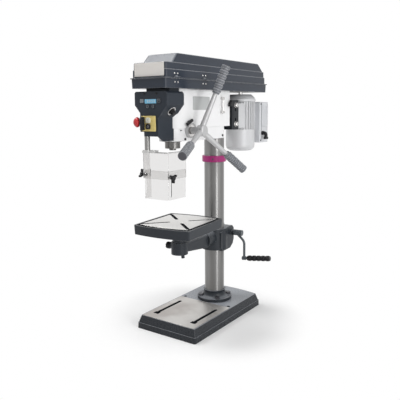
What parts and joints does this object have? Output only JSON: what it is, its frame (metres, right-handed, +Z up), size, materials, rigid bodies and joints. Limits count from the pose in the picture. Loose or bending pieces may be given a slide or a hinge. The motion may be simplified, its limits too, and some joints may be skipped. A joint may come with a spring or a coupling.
{
  "type": "bench drill press",
  "caption": "Bench drill press with a column, lifting and tilting table, belt-driven head, spoked feed handle, clear guard and front control panel.",
  "frame": {"origin": "floor point under the column's axis, at the base's underside", "axes": "+X to the operator's right, +Y to the back, +Z up along the column"},
  "size_m": [0.3534, 0.8046, 1.019],
  "materials": {
    "casting_grey": "painted satin",
    "ground_steel": "ground",
    "dark_steel": "blackened",
    "collar_magenta": "satin",
    "head_white": "painted satin",
    "panel_anthracite": "satin",
    "display_blue": "clear",
    "switch_yellow": "satin",
    "button_green": "gloss",
    "button_red": "gloss",
    "black_plastic": "satin",
    "key_grey": "satin",
    "cover_blue_grey": "satin",
    "bright_steel": "turned",
    "handle_silver": "satin",
    "grip_grey": "ribbed",
    "motor_silver": "cast",
    "motor_black": "satin",
    "box_pale": "satin",
    "pulley_metal": "turned",
    "belt_rubber": "matte",
    "spring_steel": "oiled",
    "guard_clear": "clear plastic",
    "guard_frame": "satin"
  },
  "bodies": {
    "stand": {"base": "casting_grey", "column_flange": "casting_grey", "flange_bolts": "dark_steel", "column": "ground_steel", "column_collar": "collar_magenta", "head_casting": "head_white", "control_panel": "panel_anthracite", "display_window": "display_blue", "switch_plate": "switch_yellow", "pulley_tray": "cover_blue_grey", "drive_bearings": "bright_steel", "spring_cap": "black_plastic", "return_spring": "spring_steel", "drive_belt": "belt_rubber"},
    "lift_rack": {"rack": "ground_steel"},
    "lift_bracket": {"table_bracket": "casting_grey", "tilt_bolt": "dark_steel"},
    "crank": {"crank_shaft": "bright_steel", "crank_arm": "casting_grey"},
    "crank_handle": {"crank_grip": "black_plastic"},
    "bracket_clamp": {"bracket_clamp_lever": "dark_steel"},
    "arm": {"table_arm": "casting_grey"},
    "table_lock": {"table_lock_knob": "black_plastic"},
    "work_table": {"table": "casting_grey"},
    "quill_tube": {"quill": "bright_steel", "quill_bearings": "bright_steel"},
    "main_spindle": {"spindle": "bright_steel"},
    "driven_pulley": {"spindle_pulley": "pulley_metal"},
    "feed_handle": {"feed_shaft": "bright_steel", "feed_hub": "handle_silver", "feed_arms": "handle_silver", "feed_grips": "grip_grey"},
    "depth_stop": {"depth_ring": "dark_steel"},
    "depth_clamp": {"depth_clamp_lever": "black_plastic"},
    "motor": {"motor_bracket": "motor_black", "slide_rods": "bright_steel", "motor_frame": "motor_silver", "motor_end_shield": "motor_silver", "fan_cowl": "motor_silver", "terminal_box": "box_pale", "cable_gland": "black_plastic"},
    "motor_rotor": {"rotor": "bright_steel", "motor_pulley": "pulley_metal"},
    "belt_tension": {"tension_lever": "bright_steel"},
    "slide_lock": {"slide_lock_knob": "black_plastic"},
    "cover": {"belt_cover": "cover_blue_grey"},
    "guard": {"guard_post": "guard_frame", "upper_shield": "guard_clear"},
    "guard_slide": {"lower_shield": "guard_clear"},
    "guard_knob_left": {"shield_knob_left": "black_plastic"},
    "guard_knob_right": {"shield_knob_right": "black_plastic"},
    "start": {"start_button": "button_green"},
    "stop": {"stop_button": "button_red"},
    "lid": {"switch_lid": "black_plastic"},
    "mushroom": {"stop_mushroom": "button_red"},
    "speed": {"speed_knob": "black_plastic"},
    "key_a": {"key_left": "key_grey"},
    "key_b": {"key_right": "key_grey"},
    "key_c": {"key_lower_left": "key_grey"},
    "key_d": {"key_lower_right": "key_grey"}
  },
  "joints": [
    {"name": "table_swing", "type": "hinge", "parent": "stand", "child": "lift_rack", "pos_m": [0, 0, 0.32], "axis": [0, 0, 1], "range_deg": [-85, 85]},
    {"name": "table_lift", "type": "slide", "parent": "lift_rack", "child": "lift_bracket", "axis": [0, 0, 1], "range_m": [-0.145, 0.08]},
    {"name": "crank_turn", "type": "hinge", "parent": "lift_bracket", "child": "crank", "pos_m": [-0.00587, 0.06574, 0.323], "axis": [0.996, 0.0889, 0], "range_deg": [-540, 300]},
    {"name": "crank_grip_spin", "type": "hinge", "parent": "crank", "child": "crank_handle", "pos_m": [0.16502, 0.08099, 0.22459], "axis": [0.9894, 0.0883, 0.1149], "continuous": true},
    {"name": "bracket_clamp_turn", "type": "hinge", "parent": "lift_bracket", "child": "bracket_clamp", "pos_m": [-0.06972, -0.00622, 0.309], "axis": [0.0889, -0.996, 0], "range_deg": [-40, 40]},
    {"name": "table_tilt", "type": "hinge", "parent": "lift_bracket", "child": "arm", "pos_m": [0.008, -0.08964, 0.318], "axis": [0.0889, -0.996, 0], "range_deg": [-45, 45]},
    {"name": "table_lock_turn", "type": "hinge", "parent": "arm", "child": "table_lock", "pos_m": [-0.01566, -0.27448, 0.332], "axis": [-0.996, -0.0889, 0], "range_deg": [-180, 180]},
    {"name": "table_turn", "type": "hinge", "parent": "arm", "child": "work_table", "pos_m": [0.02418, -0.27092, 0.38], "axis": [0, 0, 1], "continuous": true},
    {"name": "quill_feed", "type": "slide", "parent": "stand", "child": "quill_tube", "axis": [0, 0, 1], "range_m": [-0.08, 0]},
    {"name": "feed_turn", "type": "hinge", "parent": "stand", "child": "feed_handle", "pos_m": [0, -0.235, 0.757], "axis": [1, 0, 0], "range_deg": [0, 360]},
    {"name": "rotor_spin", "type": "hinge", "parent": "motor", "child": "motor_rotor", "pos_m": [0, 0.205, 0.9], "axis": [0, 0, 1], "continuous": true},
    {"name": "pulley_spin", "type": "hinge", "parent": "stand", "child": "driven_pulley", "pos_m": [0, -0.272, 0.93], "axis": [0, 0, 1], "continuous": true},
    {"name": "spindle_spin", "type": "hinge", "parent": "quill_tube", "child": "main_spindle", "pos_m": [0, -0.272, 0.76], "axis": [0, 0, 1], "continuous": true},
    {"name": "depth_ring_turn", "type": "hinge", "parent": "stand", "child": "depth_stop", "pos_m": [0.054, -0.235, 0.757], "axis": [1, 0, 0], "range_deg": [-150, 150]},
    {"name": "depth_clamp_turn", "type": "hinge", "parent": "depth_stop", "child": "depth_clamp", "pos_m": [0.057, -0.24768, 0.78419], "axis": [0, -0.4226, 0.9063], "range_deg": [-10, 10]},
    {"name": "motor_slide", "type": "slide", "parent": "stand", "child": "motor", "axis": [0, 1, 0], "range_m": [-0.008, 0]},
    {"name": "tension_turn", "type": "hinge", "parent": "stand", "child": "belt_tension", "pos_m": [0.056, -0.028, 0.873], "axis": [1, 0, 0], "range_deg": [-61, 1]},
    {"name": "slide_lock_turn", "type": "hinge", "parent": "stand", "child": "slide_lock", "pos_m": [0.056, 0.029, 0.852], "axis": [1, 0, 0], "range_deg": [-180, 180]},
    {"name": "cover_hinge", "type": "hinge", "parent": "stand", "child": "cover", "pos_m": [0.079, -0.259, 0.9369], "axis": [0, 1, 0], "range_deg": [0, 70]},
    {"name": "guard_swing", "type": "hinge", "parent": "stand", "child": "guard", "pos_m": [-0.0315, -0.374, 0.7], "axis": [0, 0, 1], "range_deg": [-110, 0]},
    {"name": "guard_height", "type": "slide", "parent": "guard", "child": "guard_slide", "axis": [0, 0, 1], "range_m": [0, 0.045]},
    {"name": "guard_knob_left_turn", "type": "hinge", "parent": "guard", "child": "guard_knob_left", "pos_m": [-0.06, -0.363, 0.606], "axis": [-1, 0, 0], "range_deg": [-180, 180]},
    {"name": "guard_knob_right_turn", "type": "hinge", "parent": "guard", "child": "guard_knob_right", "pos_m": [0.065, -0.357, 0.599], "axis": [1, 0, 0], "range_deg": [-180, 180]},
    {"name": "start_press", "type": "slide", "parent": "stand", "child": "start", "axis": [0, 1, 0], "range_m": [0, 0.0025], "stiffness_N_per_m": 300},
    {"name": "stop_press", "type": "slide", "parent": "stand", "child": "stop", "axis": [0, 1, 0], "range_m": [0, 0.0025], "stiffness_N_per_m": 300},
    {"name": "lid_hinge", "type": "hinge", "parent": "stand", "child": "lid", "pos_m": [-0.0275, -0.4005, 0.7847], "axis": [0, 0, 1], "range_deg": [-35, 55]},
    {"name": "mushroom_press", "type": "slide", "parent": "lid", "child": "mushroom", "axis": [0.8192, 0.5736, 0], "range_m": [0, 0.003], "stiffness_N_per_m": 300},
    {"name": "speed_turn", "type": "hinge", "parent": "stand", "child": "speed", "pos_m": [0.0525, -0.342, 0.826], "axis": [0.7483, 0, -0.6633], "range_deg": [0, 270]},
    {"name": "key_left_press", "type": "slide", "parent": "stand", "child": "key_a", "axis": [0, 1, 0], "range_m": [0, 0.002], "stiffness_N_per_m": 200},
    {"name": "key_right_press", "type": "slide", "parent": "stand", "child": "key_b", "axis": [0, 1, 0], "range_m": [0, 0.002], "stiffness_N_per_m": 200},
    {"name": "key_lower_left_press", "type": "slide", "parent": "stand", "child": "key_c", "axis": [0, 1, 0], "range_m": [0, 0.002], "stiffness_N_per_m": 200},
    {"name": "key_lower_right_press", "type": "slide", "parent": "stand", "child": "key_d", "axis": [0, 1, 0], "range_m": [0, 0.002], "stiffness_N_per_m": 200}
  ],
  "couplings": [
    {"joint": "crank_turn", "follows": "table_lift", "rad_per_m": 62.5},
    {"joint": "feed_turn", "follows": "quill_feed", "rad_per_m": -76.923},
    {"joint": "pulley_spin", "follows": "rotor_spin", "ratio": 1},
    {"joint": "spindle_spin", "follows": "rotor_spin", "ratio": 1},
    {"joint": "tension_turn", "follows": "motor_slide", "rad_per_m": 130.9}
  ]
}
